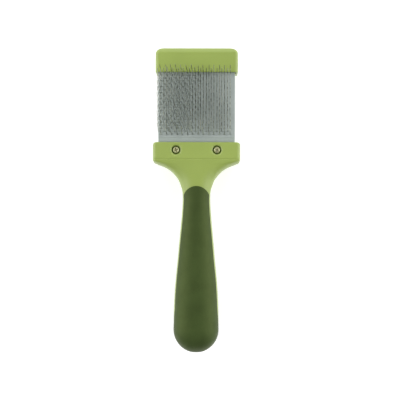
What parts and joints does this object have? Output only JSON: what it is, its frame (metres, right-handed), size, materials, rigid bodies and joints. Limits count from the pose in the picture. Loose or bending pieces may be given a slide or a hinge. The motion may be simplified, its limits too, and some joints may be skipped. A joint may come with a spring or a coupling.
{
  "type": "slicker brush",
  "caption": "Double-sided pet slicker brush: flexing head of two sprung leaves with wire pins, held between a flared collar and an end cap, on a soft-grip handle.",
  "frame": {"origin": "centre of the bounding box, on the parting plane of the handle and the cap", "axes": "+Y along the brush from the butt of the handle to the cap's end, +Z out of the bent-pin face, +X across it"},
  "size_m": [0.0616, 0.216, 0.037],
  "materials": {
    "lime_plastic": "satin moulded polypropylene, lime green",
    "green_grip": "smooth soft-touch grip rubber, dark olive green",
    "screw_steel": "plated pan-head screw",
    "spacer_plastic": "dark moulded plastic",
    "leaf_plastic": "grey flexible plastic sheet",
    "grey_rubber": "light grey cushion rubber",
    "pin_steel": "bright spring-steel wire"
  },
  "bodies": {
    "handle": {"front_shell": "lime_plastic", "back_shell": "lime_plastic", "front_grip": "green_grip", "back_grip": "green_grip", "collar_screw_left": "screw_steel", "collar_screw_right": "screw_steel", "root_spacer": "spacer_plastic"},
    "front_head": {"front_leaf": "leaf_plastic", "front_pad": "grey_rubber", "front_pins_row_01": "pin_steel", "front_pins_row_02": "pin_steel", "front_pins_row_03": "pin_steel", "front_pins_row_04": "pin_steel", "front_pins_row_05": "pin_steel", "front_pins_row_06": "pin_steel", "front_pins_row_07": "pin_steel", "front_pins_row_08": "pin_steel", "front_pins_row_09": "pin_steel", "front_pins_row_10": "pin_steel", "front_pins_row_11": "pin_steel", "front_pins_row_12": "pin_steel", "front_pins_row_13": "pin_steel", "front_pins_row_14": "pin_steel", "front_pins_row_15": "pin_steel", "front_pins_row_16": "pin_steel", "front_pins_row_17": "pin_steel", "front_pins_row_18": "pin_steel", "front_pins_row_19": "pin_steel", "front_pins_row_20": "pin_steel", "front_pins_row_21": "pin_steel"},
    "back_head": {"back_leaf": "leaf_plastic", "back_pad": "grey_rubber", "back_pins_row_01": "pin_steel", "back_pins_row_02": "pin_steel", "back_pins_row_03": "pin_steel", "back_pins_row_04": "pin_steel", "back_pins_row_05": "pin_steel", "back_pins_row_06": "pin_steel", "back_pins_row_07": "pin_steel", "back_pins_row_08": "pin_steel", "back_pins_row_09": "pin_steel", "back_pins_row_10": "pin_steel", "back_pins_row_11": "pin_steel", "back_pins_row_12": "pin_steel", "back_pins_row_13": "pin_steel", "back_pins_row_14": "pin_steel", "back_pins_row_15": "pin_steel", "back_pins_row_16": "pin_steel", "back_pins_row_17": "pin_steel", "back_pins_row_18": "pin_steel", "back_pins_row_19": "pin_steel", "back_pins_row_20": "pin_steel", "back_pins_row_21": "pin_steel"},
    "cap": {"cap_front_shell": "lime_plastic", "cap_back_shell": "lime_plastic", "tip_spacer": "spacer_plastic"}
  },
  "joints": [
    {"name": "front_leaf_hinge", "type": "hinge", "parent": "handle", "child": "front_head", "pos_m": [0, 0.0361, 0.0046], "axis": [1, 0, 0], "range_deg": [-4, 4], "stiffness_Nm_per_rad": 5},
    {"name": "back_leaf_hinge", "type": "hinge", "parent": "handle", "child": "back_head", "pos_m": [0, 0.0361, -0.0046], "axis": [1, 0, 0], "range_deg": [-4, 4]},
    {"name": "cap_hinge", "type": "hinge", "parent": "front_head", "child": "cap", "pos_m": [0, 0.0963, 0.0046], "axis": [1, 0, 0], "range_deg": [-4, 4]}
  ],
  "couplings": [
    {"joint": "back_leaf_hinge", "follows": "front_leaf_hinge", "ratio": 1},
    {"joint": "cap_hinge", "follows": "front_leaf_hinge", "ratio": -1}
  ]
}
